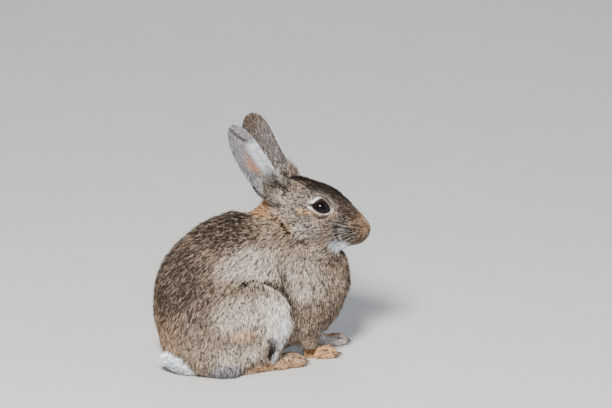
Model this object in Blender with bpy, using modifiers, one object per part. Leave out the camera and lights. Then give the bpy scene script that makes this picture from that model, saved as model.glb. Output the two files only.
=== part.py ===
"""A wild rabbit sitting hunched on the ground, life size, for Blender 4.5.

Metres, +Z up, nose towards +X, the animal's left towards +Y, standing on z = 0 over the origin.
The solids reach out to the tips of the coat. The flesh is blended from simple forms into one body,
which is then parted into head, neck, trunk, legs and feet. Ears, eyes, tail and claws are set into it.
Run with: blender --background --python part.py
"""

import math

import bmesh
import bpy
import numpy as np
from mathutils import Matrix, Vector

MM = 0.001
GAP = 0.3 * MM  # clearance between neighbouring solids
VOXEL = 2.0 * MM  # grid on which the forms are blended
FLESH_TRIANGLES = 3300
REGION_SEGMENTS = 12  # facets round the cuts that part the legs from the trunk
RIGHT, LEFT = -1, 1

# Colours and roughness of the finishes: name -> (colour, roughness)
FINISHES = {
    "coat": ((0.28, 0.21, 0.15), 0.9),
    "foot_coat": ((0.42, 0.26, 0.14), 0.9),
    "tail_coat": ((0.75, 0.75, 0.74), 0.9),
    "ear_coat": ((0.36, 0.29, 0.25), 0.85),
    "eye": ((0.02, 0.012, 0.01), 0.08),
    "claw": ((0.16, 0.12, 0.10), 0.45),
}

# Trunk sections from rump to chest, in mm: along x, height of the top, of the widest level and of the
# underside, then half the width.
TRUNK = [
    (-103.5, 60, 60, 60, 0),
    (-98.5, 96, 52, 20, 31),
    (-86.5, 117, 45, 7, 44),
    (-70, 131, 43, 4, 51),
    (-50, 143, 46, 4, 54),
    (-25, 149, 54, 6, 53),
    (0, 146, 60, 7, 48),
    (25, 138, 66, 11, 43),
    (48, 128, 72, 18, 39),
    (66, 117, 78, 30, 33),
    (79, 104, 80, 50, 22),
    (87, 80, 80, 80, 0),
]

# The head is pitched nose down and turned a little to the animal's right.
HEAD_PITCH, HEAD_YAW = math.radians(25), math.radians(-18)
HEAD_AT = Vector((21.4, 1.1, 150)) * MM  # back of the skull, on the head's own midline
# Head sections from nape to nose, in mm, in the head's own frame.
HEAD = [
    (-16, 8, 8, 8, 0),
    (-10, 25, 8, -12, 16),
    (0, 34, 7, -20, 22),
    (13, 37, 5, -23, 25),
    (27, 39, 4, -21.5, 25.5),
    (40, 38.5, 4, -18, 23.5),
    (52, 35.5, 5, -14, 19),
    (62, 31, 6, -9.5, 15.5),
    (71, 27.5, 7.5, -7.5, 14),
    (79, 23.5, 9, -3, 12.5),
    (85, 19, 11, 4, 9.5),
    (87.5, 12, 12, 12, 0),
]

EYE_RADIUS = 9 * MM
EYE_SEGMENTS = 12
EYE_AT = Vector((31, 17.4, 20.5)) * MM  # from the back of the skull, out to the side, above the head's axis

# Each ear runs from its root, in the head's frame, to its tip, in the world's, and opens where it faces.
EAR_THICK = 2 * MM
EAR_ROOT = {RIGHT: Vector((-9, -12, 10)) * MM, LEFT: Vector((-1, 11, 16)) * MM}
EAR_TIP = {RIGHT: Vector((-37, -21, 242)) * MM, LEFT: Vector((-6, 19, 241)) * MM}
EAR_FACING = {RIGHT: math.radians(-72), LEFT: math.radians(70)}  # bearing of the opening
EAR_FORWARD_BEND = 4 * MM
# share of the length, half width in mm, half the angle that the edges curl through in degrees
EAR_OUTLINE = [
    (0.00, 9.0, 150),
    (0.14, 10.5, 135),
    (0.30, 13.0, 100),
    (0.48, 14.5, 76),
    (0.66, 14.8, 62),
    (0.82, 13.2, 50),
    (0.94, 9.0, 40),
    (1.00, 3.0, 32),
]

TAIL_AT = Vector((-87, -19, 12)) * MM
TAIL_SIZE = Vector((21, 12, 11)) * MM  # half its length, width and thickness
TAIL_YAW, TAIL_RISE = math.radians(-38), math.radians(14)

# Feet: heel or wrist and longest toe on the ground (x, y in mm), then half width and height (mm).
HIND_FOOT = {RIGHT: ((-54, -41), (35, -31)), LEFT: ((-54, 41), (35, 33))}
FORE_FOOT = {RIGHT: ((38, -15), (73, -18)), LEFT: ((60, 15), (94, 18))}
HIND_HALF_WIDTH, HIND_HEIGHT = 9.5, 15
FORE_HALF_WIDTH, FORE_HEIGHT = 8.0, 13
CLAW_LENGTH, CLAW_RADIUS = 7.5 * MM, 1.3 * MM


def collection(name):
    made = bpy.data.collections.new(name)
    bpy.context.scene.collection.children.link(made)
    return made


def finish(name):
    colour, roughness = FINISHES[name]
    material = bpy.data.materials.get(name) or bpy.data.materials.new(name)
    material.use_nodes = True
    shader = material.node_tree.nodes["Principled BSDF"]
    shader.inputs["Base Color"].default_value = (*colour, 1)
    shader.inputs["Roughness"].default_value = roughness
    return material


def new_object(name, bm, group, recalculate=True):
    """The bmesh as an object of its own in the group."""
    if recalculate:
        bmesh.ops.recalc_face_normals(bm, faces=bm.faces)
    mesh = bpy.data.meshes.new(name)
    bm.to_mesh(mesh)
    bm.free()
    made = bpy.data.objects.new(name, mesh)
    group.objects.link(made)
    return made


def applied(obj):
    """Puts the object's modifiers and place into its mesh."""
    graph = bpy.context.evaluated_depsgraph_get()
    mesh = bpy.data.meshes.new_from_object(obj.evaluated_get(graph))
    mesh.transform(obj.matrix_world)
    obj.modifiers.clear()
    obj.data = mesh
    obj.matrix_world = Matrix.Identity(4)
    return obj


def smooth_through(knots, values, at):
    """Values at a point of a smooth curve through the knots, by cubic pieces with matching slopes."""
    slopes = np.gradient(values, knots)
    i = int(np.clip(np.searchsorted(knots, at) - 1, 0, len(knots) - 2))
    step = knots[i + 1] - knots[i]
    s = (at - knots[i]) / step
    return (
        (1 + 2 * s) * (1 - s) ** 2 * values[i]
        + s * (1 - s) ** 2 * step * slopes[i]
        + s**2 * (3 - 2 * s) * values[i + 1]
        + s**2 * (s - 1) * step * slopes[i + 1]
    )


def loft(name, sections, group, place=None, segments=40):
    """A ball drawn out through egg-shaped sections. Squared sizes are blended, so the ends are round."""
    along, top, widest, under, half = np.array(sections, float).T * MM
    squares = [(top - widest) ** 2, (widest - under) ** 2, half**2]
    bm = bmesh.new()
    bmesh.ops.create_uvsphere(bm, u_segments=segments, v_segments=segments, radius=1)
    for v in bm.verts:
        x = along[0] + (along[-1] - along[0]) * (1 - v.co.z) / 2
        ring = math.atan2(v.co.y, v.co.x)
        up, down, out = (math.sqrt(max(0, smooth_through(along, s, x))) for s in squares)
        rise = up if math.sin(ring) > 0 else down
        height = smooth_through(along, widest, x) + rise * math.sin(ring)
        v.co = (x, out * math.cos(ring), height)
    bm.transform(place or Matrix())
    return new_object(name, bm, group)


def ellipsoid(name, centre, half_axes, group, turn=None, segments=24):
    """A ball stretched along its own axes, turned, then placed."""
    bm = bmesh.new()
    bmesh.ops.create_uvsphere(bm, u_segments=segments, v_segments=segments * 2 // 3, radius=1)
    stretch = Matrix.Diagonal((*half_axes, 1))
    bm.transform(Matrix.Translation(centre) @ (turn or Matrix()) @ stretch)
    return new_object(name, bm, group)


def box(name, half_sides, group, place):
    bm = bmesh.new()
    bmesh.ops.create_cube(bm, size=2)
    bm.transform(place @ Matrix.Diagonal((*half_sides, 1)))
    return new_object(name, bm, group)


def limb(name, joints, group):
    """A round limb through joints given as x, y, z and radius in mm."""
    curve = bpy.data.curves.new(name, "CURVE")
    curve.dimensions = "3D"
    curve.bevel_depth = MM
    curve.bevel_resolution = 5
    curve.use_fill_caps = True
    spline = curve.splines.new("NURBS")
    spline.points.add(len(joints) - 1)
    spline.use_endpoint_u = True
    spline.order_u = 3
    for point, (x, y, z, radius) in zip(spline.points, joints):
        point.co = (x * MM, y * MM, z * MM, 1)
        point.radius = radius
    made = bpy.data.objects.new(name, curve)
    group.objects.link(made)
    bpy.context.view_layer.update()
    graph = bpy.context.evaluated_depsgraph_get()
    mesh = bpy.data.meshes.new_from_object(made.evaluated_get(graph))
    bpy.data.objects.remove(made)
    bm = bmesh.new()
    bm.from_mesh(mesh)
    bmesh.ops.remove_doubles(bm, verts=bm.verts, dist=1e-5)
    return new_object(name, bm, group)


def joined(name, objects, group):
    """The objects' meshes put together in one object."""
    bm = bmesh.new()
    for obj in objects:
        bm.from_mesh(obj.data)
        bpy.data.objects.remove(obj)
    return new_object(name, bm, group, recalculate=False)


def keep_largest(obj):
    """Drops the crumbs that a cut leaves beside the piece itself."""
    bm = bmesh.new()
    bm.from_mesh(obj.data)
    bmesh.ops.remove_doubles(bm, verts=bm.verts, dist=1e-6)
    unseen, islands = set(bm.verts), []
    while unseen:
        island, edge_of_island = set(), [unseen.pop()]
        while edge_of_island:
            v = edge_of_island.pop()
            island.add(v)
            near = {e.other_vert(v) for e in v.link_edges} & unseen
            unseen -= near
            edge_of_island.extend(near)
        islands.append(island)
    islands.sort(key=len)
    crumbs = [v for island in islands[:-1] for v in island]
    bmesh.ops.delete(bm, geom=crumbs, context="VERTS")
    bm.to_mesh(obj.data)
    bm.free()
    return obj


def cut(obj, cutter, operation="DIFFERENCE"):
    modifier = obj.modifiers.new("cut", "BOOLEAN")
    modifier.operation = operation
    modifier.object = cutter
    bpy.context.view_layer.update()
    return keep_largest(applied(obj))


def part_off(name, body, region, group, helpers):
    """Takes what lies in a region out of the body, as a solid. region(grow, group) makes the cutter."""
    piece = bpy.data.objects.new(name, body.data.copy())
    group.objects.link(piece)
    for obj, grow, operation in ((piece, 0, "INTERSECT"), (body, GAP, "DIFFERENCE")):
        cutter = region(grow, helpers)
        cut(obj, cutter, operation)
        bpy.data.objects.remove(cutter)
    return piece


def grown(name, obj, by, group):
    """A copy of the object, larger all round, to cut its neighbours clear of it."""
    made = bpy.data.objects.new(name, obj.data.copy())
    group.objects.link(made)
    modifier = made.modifiers.new("grow", "DISPLACE")
    modifier.mid_level = 0
    modifier.strength = by
    bpy.context.view_layer.update()
    return applied(made)


def head_frame():
    """The head's own axes: forward to the nose, to the animal's left, and up."""
    turn = Matrix.Rotation(HEAD_YAW, 4, "Z") @ Matrix.Rotation(HEAD_PITCH, 4, "Y")
    return Matrix.Translation(HEAD_AT) @ turn


def head_forms(group):
    """The skull and muzzle, with the brows round the eyes, the cheeks, the whisker pads and the chin."""
    frame = head_frame()
    forms = [loft("skull", HEAD, group, frame)]
    pairs = {
        "brow": ((30, 11, 21), (15, 10.5, 12)),
        "cheek": ((22, 12, -4), (20, 13.5, 16)),
        "pad": ((73, 6.5, 6), (12, 8, 10)),
        "ear_seat": ((-2, 11, 19), (12, 9, 14)),
    }
    for name, (centre, half_axes) in pairs.items():
        for side in (RIGHT, LEFT):
            place = Vector((centre[0], side * centre[1], centre[2])) * MM
            form = ellipsoid(name, place, Vector(half_axes) * MM, group)
            form.data.transform(frame)
            forms.append(form)
    chin = ellipsoid("chin", Vector((66, 0, -8)) * MM, Vector((10, 7, 6)) * MM, group)
    chin.data.transform(frame)
    return [*forms, chin]


def neck_forms(group):
    """The short neck drawn back between the shoulders, and the full throat above the chest."""
    nape = limb("nape", [(-6, 0, 108, 34), (14, 0, 128, 31), (34, -3, 142, 25)], group)
    throat = limb("throat", [(38, 0, 88, 32), (50, -4, 108, 27), (62, -10, 122, 17)], group)
    return [nape, throat]


def foot(name, heel, toe, half_width, height, toes, group):
    """A long flat foot on the ground, its toes side by side. Returns its forms and where each toe ends."""
    start, end = Vector((*heel, 0)), Vector((*toe, 0))
    ahead = (end - start).normalized()
    aside = Vector((-ahead.y, ahead.x, 0))
    level = height * 0.42
    joints = [
        (*(start + ahead * half_width * 0.6).to_2d(), level, half_width * 0.82),
        (*(start.lerp(end, 0.45)).to_2d(), level * 1.08, half_width * 0.88),
        (*(end - ahead * half_width * 0.9).to_2d(), level, half_width * 0.92),
    ]
    forms = [limb(name, joints, group)]
    forms.append(ellipsoid(name, Vector(joints[0][:3]) * MM, Vector((1, 1, 1)) * joints[0][3] * MM, group))
    tips = []
    for i in range(toes):
        share = i / (toes - 1) * 2 - 1  # from one side of the foot to the other
        reach = end + aside * share * half_width * 0.74 - ahead * 3.2 * share * share
        fan = Matrix.Rotation(math.atan2(ahead.y, ahead.x) + share * 0.12, 4, "Z")
        centre = reach - ahead * 8
        size = Vector((9.5, half_width * 0.30, height * 0.38))
        centre.z = size.z - 0.6
        forms.append(ellipsoid(name, centre * MM, size * MM, group, fan, 16))
        tips.append((centre * MM, fan, size.x * MM))
    return forms, tips


def leg_forms(side, group):
    """A folded hind leg and a foreleg of one side. Returns the forms, and the toe tips of each foot."""
    haunch = ellipsoid(
        "haunch",
        Vector((-37, side * 34, 52)) * MM,
        Vector((50, 24, 45)) * MM,
        group,
        Matrix.Rotation(math.radians(12), 4, "Y"),
    )
    skirt = ellipsoid("skirt", Vector((-30, side * 37, 27)) * MM, Vector((42, 18, 23)) * MM, group)
    hock = ellipsoid("hock", Vector((-50, side * 42, 12)) * MM, Vector((17, 13, 13)) * MM, group)
    buttock = ellipsoid("buttock", Vector((-59, side * 29, 33)) * MM, Vector((34, 25, 34)) * MM, group)
    knee = ellipsoid("knee", Vector((-6, side * 40, 47)) * MM, Vector((22, 16, 29)) * MM, group)
    hind, hind_tips = foot(
        "hind_foot", *HIND_FOOT[side], HIND_HALF_WIDTH, HIND_HEIGHT, 4, group
    )
    (heel_x, heel_y), (toe_x, toe_y) = HIND_FOOT[side]
    shank = limb(
        "shank",
        [
            (-2, side * 42, 40, 15),
            (-28, side * 42, 26, 14),
            (heel_x + 8, heel_y, 12, 10),
        ],
        group,
    )
    shoulder = ellipsoid(
        "shoulder",
        Vector((38, side * 24, 74)) * MM,
        Vector((27, 19, 42)) * MM,
        group,
        Matrix.Rotation(math.radians(-8), 4, "Y"),
    )
    (wrist_x, wrist_y), fore_toe = FORE_FOOT[side]
    forearm = limb(
        "forearm",
        [
            (34, side * 25, 48, 17),
            (44, side * 22, 30, 12),
            (wrist_x + 2, wrist_y, 9, 8.2),
        ],
        group,
    )
    fore, fore_tips = foot(
        "fore_foot", (wrist_x, wrist_y), fore_toe, FORE_HALF_WIDTH, FORE_HEIGHT, 4, group
    )
    limbs = [haunch, skirt, hock, buttock, knee, shank, shoulder, forearm]
    return limbs + hind + fore, hind_tips, fore_tips


def blended(name, forms, group):
    """The forms fused into one closed skin, softened where they meet, thinned to a few thousand faces."""
    body = joined(name, forms, group)
    remesh = body.modifiers.new("fuse", "REMESH")
    remesh.mode = "VOXEL"
    remesh.voxel_size = VOXEL
    soften = body.modifiers.new("soften", "SMOOTH")
    soften.factor = 0.5
    soften.iterations = 7
    bpy.context.view_layer.update()
    applied(body)
    keep_largest(body)
    thin = body.modifiers.new("thin", "DECIMATE")
    thin.ratio = FLESH_TRIANGLES / (2 * len(body.data.polygons))
    thin.use_collapse_triangulate = True
    bpy.context.view_layer.update()
    return keep_largest(applied(body))


def level_soles(body, helpers):
    """Cuts the feet and belly off flat at floor level."""
    floor = box("floor", (0.3, 0.3, 0.05), helpers, Matrix.Translation((0, 0, -0.05)))
    cut(body, floor)
    bpy.data.objects.remove(floor)


def ear(side, group):
    """A long cupped ear: a flat grid rolled along its length, a tube at the root and open at the tip."""
    across, lengthwise = 7, 10
    shares, widths, curls = np.array(EAR_OUTLINE, float).T
    root = head_frame() @ EAR_ROOT[side]
    length = (EAR_TIP[side] - root).length
    bm = bmesh.new()
    bmesh.ops.create_grid(bm, x_segments=across, y_segments=lengthwise, size=1)
    for v in bm.verts:
        share = math.sin((v.co.y + 1) / 2 * math.pi / 2)  # closer rows towards the tip
        curl = math.radians(smooth_through(shares, curls, share))
        radius = smooth_through(shares, widths, share) * MM / math.sin(min(curl, math.pi / 2))
        turn = v.co.x * curl
        sunk = widths[0] * MM * (1 - share) ** 2  # at the root the axis runs down the middle of the tube
        bend = EAR_FORWARD_BEND * 4 * share * (share - 1)
        v.co = (radius * math.sin(turn) + bend, radius * (1 - math.cos(turn)) - sunk, share * length)
    made = new_object(f"ear_{name_of(side)}", bm, group, recalculate=False)
    wall = made.modifiers.new("wall", "SOLIDIFY")
    wall.thickness = EAR_THICK
    wall.offset = 0
    wall.use_even_offset = False
    bpy.context.view_layer.update()
    applied(made)
    if side == RIGHT:
        made.data.transform(Matrix.Diagonal((1, -1, 1, 1)))
        made.data.flip_normals()
    along = (EAR_TIP[side] - root).normalized()
    facing = Vector((math.cos(EAR_FACING[side]), math.sin(EAR_FACING[side]), 0))
    forward = (facing.cross(along) * side).normalized()
    out = along.cross(forward)
    made.data.transform(Matrix.Translation(root) @ Matrix((forward, out, along)).transposed().to_4x4())
    return made


def name_of(side):
    return "right" if side == RIGHT else "left"


def claw(name, tip, group):
    """One slim claw, curved down from the end of a toe."""
    centre, fan, reach = tip
    bm = bmesh.new()
    bmesh.ops.create_cone(
        bm, cap_ends=True, segments=5, radius1=CLAW_RADIUS, radius2=CLAW_RADIUS * 0.22, depth=CLAW_LENGTH
    )
    along_toe = Matrix.Rotation(math.pi / 2, 4, "Y")
    bm.transform(along_toe)
    for v in bm.verts:
        share = v.co.x / CLAW_LENGTH + 0.5
        v.co.z -= 1.6 * MM * share * share
    bm.transform(Matrix.Translation(centre) @ fan @ Matrix.Translation((reach * 0.9, 0, -0.8 * MM)))
    return new_object(name, bm, group)


def settle(objects):
    """Moves the finished animal so that the middle of its outline stands over the origin."""
    corners = [o.matrix_world @ Vector(c) for o in objects for c in o.bound_box]
    low = Vector(map(min, *corners))
    high = Vector(map(max, *corners))
    shift = Matrix.Translation((-(low.x + high.x) / 2, -(low.y + high.y) / 2, 0))
    for obj in objects:
        obj.data.transform(shift)


def main():
    for obj in list(bpy.data.objects):
        bpy.data.objects.remove(obj)
    rabbit, helpers = collection("rabbit"), collection("helpers")
    helpers.hide_render = True

    forms = [loft("barrel", TRUNK, helpers), *neck_forms(helpers), *head_forms(helpers)]
    toe_tips = {}
    for side in (RIGHT, LEFT):
        made, toe_tips["hind", side], toe_tips["fore", side] = leg_forms(side, helpers)
        forms += made
    trunk = blended("trunk", forms, rabbit)
    level_soles(trunk, helpers)
    coats = {"trunk": "coat"}

    # Ears and tail stand on the whole body, before it is parted.
    clear_of_body = grown("clear_of_body", trunk, GAP, helpers)
    for side in (RIGHT, LEFT):
        made = cut(ear(side, rabbit), clear_of_body)
        coats[made.name] = "ear_coat"
    curl_up = Matrix.Rotation(TAIL_YAW, 4, "Z") @ Matrix.Rotation(TAIL_RISE, 4, "Y")
    tail = ellipsoid("tail", TAIL_AT, TAIL_SIZE, rabbit, curl_up, 14)
    cut(tail, clear_of_body)
    level_soles(tail, helpers)
    coats["tail"] = "tail_coat"
    bpy.data.objects.remove(clear_of_body)

    # The eyeballs sit in sockets cut from the head.
    frame = head_frame()
    for side in (RIGHT, LEFT):
        centre = frame @ Vector((EYE_AT.x, side * EYE_AT.y, EYE_AT.z))
        ball = Vector((1, 1, 1)) * EYE_RADIUS
        ellipsoid(f"eye_{name_of(side)}", centre, ball, rabbit, segments=EYE_SEGMENTS)
        coats[f"eye_{name_of(side)}"] = "eye"
        socket = ellipsoid("socket", centre, ball * (1 + GAP / EYE_RADIUS), helpers, segments=EYE_SEGMENTS)
        cut(trunk, socket)
        bpy.data.objects.remove(socket)

    # The claws stand in front of the toes, and a little of each is in the toe.
    clear_of_toes = grown("clear_of_toes", trunk, GAP, helpers)
    for (limb_name, side), tips in toe_tips.items():
        for number, tip in enumerate(tips, 1):
            made = claw(f"claw_{limb_name}_{name_of(side)}_{number}", tip, rabbit)
            cut(made, clear_of_toes)
            level_soles(made, helpers)
            coats[made.name] = "claw"
    bpy.data.objects.remove(clear_of_toes)

    def head_region(grow, group):
        """All ahead of the nape and above the line of the lower jaw."""
        half = Vector((70, 60, 50)) * MM + Vector((grow, grow, grow))
        tilt = Matrix.Rotation(math.radians(-7), 4, "Y")
        place = frame @ Matrix.Translation(Vector((60, 0, 31)) * MM) @ tilt
        return box("head_region", half, group, place)

    def neck_region(grow, group):
        """A wedge between the skull and the shoulders."""
        half = Vector((48, 60, 24)) * MM + Vector((grow, grow, grow))
        tilt = Matrix.Rotation(math.radians(20), 4, "Y")
        return box("neck_region", half, group, Matrix.Translation(Vector((40, 0, 132)) * MM) @ tilt)

    def foot_region(side, ends, half_width, height):
        (heel_x, heel_y), (toe_x, toe_y) = ends

        def region(grow, group):
            wide = half_width + 6 + abs(toe_y - heel_y) / 2
            half = Vector(((toe_x - heel_x) / 2 + 12, wide, height)) * MM
            centre = Vector(((toe_x + heel_x) / 2, (toe_y + heel_y) / 2, -height + 12.5)) * MM
            return box("foot_region", half + Vector((grow,) * 3), group, Matrix.Translation(centre))

        return region

    def hind_region(side):
        def region(grow, group):
            half = Vector((56, 34, 56)) * MM + Vector((grow,) * 3)
            centre = Vector((-37, side * 50, 49)) * MM
            return ellipsoid("hind_region", centre, half, group, segments=REGION_SEGMENTS)

        return region

    def fore_region(side):
        def region(grow, group):
            half = Vector((34, 26, 52)) * MM + Vector((grow,) * 3)
            centre = Vector((44, side * 29, 62)) * MM
            return ellipsoid("fore_region", centre, half, group, segments=REGION_SEGMENTS)

        return region

    part_off("head", trunk, head_region, rabbit, helpers)
    part_off("neck", trunk, neck_region, rabbit, helpers)
    coats.update(head="coat", neck="coat")
    for side in (RIGHT, LEFT):
        where = name_of(side)
        hind_foot = foot_region(side, HIND_FOOT[side], HIND_HALF_WIDTH, 14)
        part_off(f"hind_foot_{where}", trunk, hind_foot, rabbit, helpers)
        part_off(f"hind_leg_{where}", trunk, hind_region(side), rabbit, helpers)
        fore_foot = foot_region(side, FORE_FOOT[side], FORE_HALF_WIDTH, 13)
        part_off(f"fore_foot_{where}", trunk, fore_foot, rabbit, helpers)
        part_off(f"fore_leg_{where}", trunk, fore_region(side), rabbit, helpers)
        coats.update({f"hind_leg_{where}": "coat", f"fore_leg_{where}": "coat"})
        coats.update({f"hind_foot_{where}": "foot_coat", f"fore_foot_{where}": "foot_coat"})

    for name, coat in coats.items():
        obj = bpy.data.objects[name]
        obj.data.materials.clear()
        obj.data.materials.append(finish(coat))
        obj.data.shade_smooth()
    settle(list(rabbit.objects))


main()
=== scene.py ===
"""A wild rabbit sitting hunched, life size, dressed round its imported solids.

One skin takes the place of the flesh. A coat of fine mesh tufts stands on it, and the eyes, the claws and the
whiskers are pieces of their own. Lengths are in metres, except where a name or comment says mm.
"""

import math

import bmesh
import bpy
import numpy as np
from mathutils import Matrix, Vector, noise
from mathutils.bvhtree import BVHTree
from mathutils.kdtree import KDTree


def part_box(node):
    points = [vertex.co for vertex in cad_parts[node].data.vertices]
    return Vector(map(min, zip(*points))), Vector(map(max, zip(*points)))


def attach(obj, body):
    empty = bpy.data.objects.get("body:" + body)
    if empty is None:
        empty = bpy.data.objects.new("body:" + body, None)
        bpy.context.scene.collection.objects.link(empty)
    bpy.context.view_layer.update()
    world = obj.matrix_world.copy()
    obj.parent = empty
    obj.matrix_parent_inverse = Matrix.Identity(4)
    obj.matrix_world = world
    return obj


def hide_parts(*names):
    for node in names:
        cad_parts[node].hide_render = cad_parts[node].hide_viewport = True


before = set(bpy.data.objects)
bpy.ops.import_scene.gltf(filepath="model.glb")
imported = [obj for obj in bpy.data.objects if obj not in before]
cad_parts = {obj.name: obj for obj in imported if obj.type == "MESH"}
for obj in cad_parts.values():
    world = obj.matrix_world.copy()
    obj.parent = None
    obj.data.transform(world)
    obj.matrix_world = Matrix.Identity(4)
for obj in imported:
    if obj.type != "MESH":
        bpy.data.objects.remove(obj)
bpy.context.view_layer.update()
MM = 0.001


# ---------------------------------------------------------------- studio
# A plain pale floor under a soft overcast dome, with a large warm key light high on the left of the view, a weak
# fill on the right and a rim light behind. The camera looks from a little behind the animal's right side with a
# long lens.

class Socket:
    """One output of a node, with the arithmetic that materials need."""

    def __init__(self, tree, link):
        self.tree = tree
        self.link = link

    def node(self, kind, sockets=(), output=0, **settings):
        """Adds a node: its settings first, then the values or links of its sockets."""
        made = self.tree.nodes.new(kind)
        for name, value in settings.items():
            setattr(made, name, value)
        for key, value in dict(sockets).items():
            if isinstance(value, Socket):
                self.tree.links.new(value.link, made.inputs[key])
            else:
                made.inputs[key].default_value = value
        return Socket(self.tree, made.outputs[output])

    def math(self, operation, *values):
        return self.node("ShaderNodeMath", dict(enumerate(values)), operation=operation)

    def __add__(self, other):
        return self.math("ADD", self, other)

    def __sub__(self, other):
        return self.math("SUBTRACT", self, other)

    def __mul__(self, other):
        return self.math("MULTIPLY", self, other)

    __radd__ = __add__

    def ramp(self, low, high):
        """0 at low, 1 at high, and a smooth rise between."""
        sockets = {"Value": self, "From Min": low, "From Max": high}
        return self.node("ShaderNodeMapRange", sockets, interpolation_type="SMOOTHSTEP")

    def mix(self, start, end):
        """The colour start where this is 0, and end where it is 1."""
        sockets = {0: self, 6: start, 7: end}
        return self.node("ShaderNodeMix", sockets, output=2, data_type="RGBA")

    def channels(self):
        """Its red, green and blue."""
        return [self.node("ShaderNodeSeparateColor", {"Color": self}, output=k) for k in range(3)]

    def attribute(self, name, output):
        return self.node("ShaderNodeAttribute", output=output, attribute_name=name)

    def noise(self, scale, detail=2.0):
        return self.node("ShaderNodeTexNoise", {"Vector": self, "Scale": scale, "Detail": detail})

    def bump(self, strength, distance):
        return self.node("ShaderNodeBump", {"Height": self, "Strength": strength, "Distance": distance})


def material(name, **constants):
    """A new material, its shader with the constants set, and a socket of the object's own coordinates."""
    made = bpy.data.materials.new(name)
    made.use_nodes = True
    tree = made.node_tree
    shader = tree.nodes["Principled BSDF"]
    for key, value in constants.items():
        shader.inputs[key.replace("_", " ")].default_value = value
    place = Socket(tree, tree.nodes.new("ShaderNodeTexCoord").outputs["Object"])
    return made, shader, place


def feed(shader, **values):
    for key, value in values.items():
        value.tree.links.new(value.link, shader.inputs[key.replace("_", " ")])


def speckled(name, scale, low, high, bumps=None, **constants):
    """A material that varies between two colours, with bumps if given their scale, strength and height."""
    made, shader, place = material(name, **constants)
    feed(shader, Base_Color=place.noise(scale).mix((*low, 1), (*high, 1)))
    if bumps:
        feed(shader, Normal=place.noise(bumps[0]).bump(*bumps[1:]))
    return made


def linked(name, data):
    made = bpy.data.objects.new(name, data)
    bpy.context.scene.collection.objects.link(made)
    return made


def closed(bm, mesh):
    """The mesh, with what the bmesh held."""
    bm.to_mesh(mesh)
    bm.free()
    return mesh


def from_bmesh(name, bm):
    return linked(name, closed(bm, bpy.data.meshes.new(name)))


floor_bm = bmesh.new()
bmesh.ops.create_grid(floor_bm, x_segments=8, y_segments=8, size=7)
floor = from_bmesh("floor", floor_bm)
floor_tones = (0.60, 0.59, 0.57), (0.64, 0.63, 0.61)
floor.data.materials.append(speckled("floor_paint", 9.0, *floor_tones, (700.0, 0.05, 0.0004), Roughness=0.8))

AZIMUTH, ELEVATION = math.radians(-18), math.radians(17)
LENS, DISTANCE = 300, 4.947
aside = Vector((math.cos(AZIMUTH), math.sin(AZIMUTH), 0))
backward = Vector((0, 0, math.sin(ELEVATION)))
backward += Vector((math.sin(AZIMUTH), -math.cos(AZIMUTH), 0)) * math.cos(ELEVATION)
upward = backward.cross(aside)
aim = Vector((0.0008, 0, 0)) + aside * 0.0427 + upward * 0.1494  # the animal stands left of the middle
camera = linked("camera", bpy.data.cameras.new("camera"))
camera.data.lens = LENS
camera.data.clip_end = 30
camera.location = aim + backward * DISTANCE
camera.rotation_euler = backward.to_track_quat("Z", "Y").to_euler()
bpy.context.scene.camera = camera


def area_light(name, direction, distance, size, power, colour):
    lamp = bpy.data.lights.new(name, "AREA")
    lamp.size, lamp.energy, lamp.color = size, power, colour
    made = linked(name, lamp)
    made.location = Vector((0, 0, 0.1)) + Vector(direction).normalized() * distance
    made.rotation_euler = Vector(direction).to_track_quat("Z", "Y").to_euler()


# name, direction, distance, size, power, colour
area_light("key", (-0.62, -1.15, 1.15), 2.2, 0.45, 114, (1.0, 0.965, 0.92))
area_light("fill", (1.5, -0.9, 0.8), 2.6, 1.6, 12, (0.88, 0.94, 1.0))
area_light("rim", (0.5, 1.5, 1.2), 2.4, 1.0, 11, (0.95, 0.97, 1.0))
world = bpy.data.worlds.new("studio")
world.use_nodes = True
sky = world.node_tree.nodes["Background"].inputs
sky["Color"].default_value = (0.80, 0.87, 1.0, 1)
sky["Strength"].default_value = 0.42
bpy.context.scene.world = world


# ---------------------------------------------------------------- places on the animal
# Places on the body are in mm: ahead of its middle, to its left, and up from the floor. The head is pitched
# down and turned a little to the right, so its parts have axes of their own, from midway between the eyes:
# ahead to the nose, left and up, in mm too.

SIDES = {"right": -1, "left": 1}
HEAD_TURN = Matrix.Rotation(math.radians(-18), 3, "Z") @ Matrix.Rotation(math.radians(25), 3, "Y")
eye_centres = {}
for where in SIDES:
    low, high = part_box(f"eye_{where}")
    eye_centres[where] = (low + high) / 2
    EYE_RADIUS = (high.z - low.z) / 2
eye_middle = (eye_centres["right"] + eye_centres["left"]) / 2


def on_head(ahead, left, up):
    return eye_middle + HEAD_TURN @ (Vector((ahead, left, up)) * MM)


def on_body(ahead, left, up):
    return Vector((ahead, left, up)) * MM


AXES = {on_body: Matrix.Identity(3), on_head: HEAD_TURN}


def mirrored(place, spots, side):
    """Spots of the left half put on one side: ahead, out and up in mm, on the body or the head."""
    return [place(ahead, side * out, up) for ahead, out, up in spots]


def sides_of(spots):
    """Both sides, or just one for spots that lie in the middle."""
    return SIDES.values() if max(out for _, out, _ in spots) > 0 else (1,)


# ---------------------------------------------------------------- lie of the coat
# Hair grows back from the nose over head and trunk, down the flanks and legs, forward on the feet and up the
# ears. Each row of the comb says how it lies at one place: the way it runs, its length in mm, how many degrees
# it stands off the skin and a tuft's width in mm. Everywhere else is a blend of the nearest rows.

COMB_REACH = 7 * MM
comb = []


def lay(place, way, length, lift, width):
    comb.append((*place, *Vector(way).normalized(), length * MM, math.radians(lift), width * MM))


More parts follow.
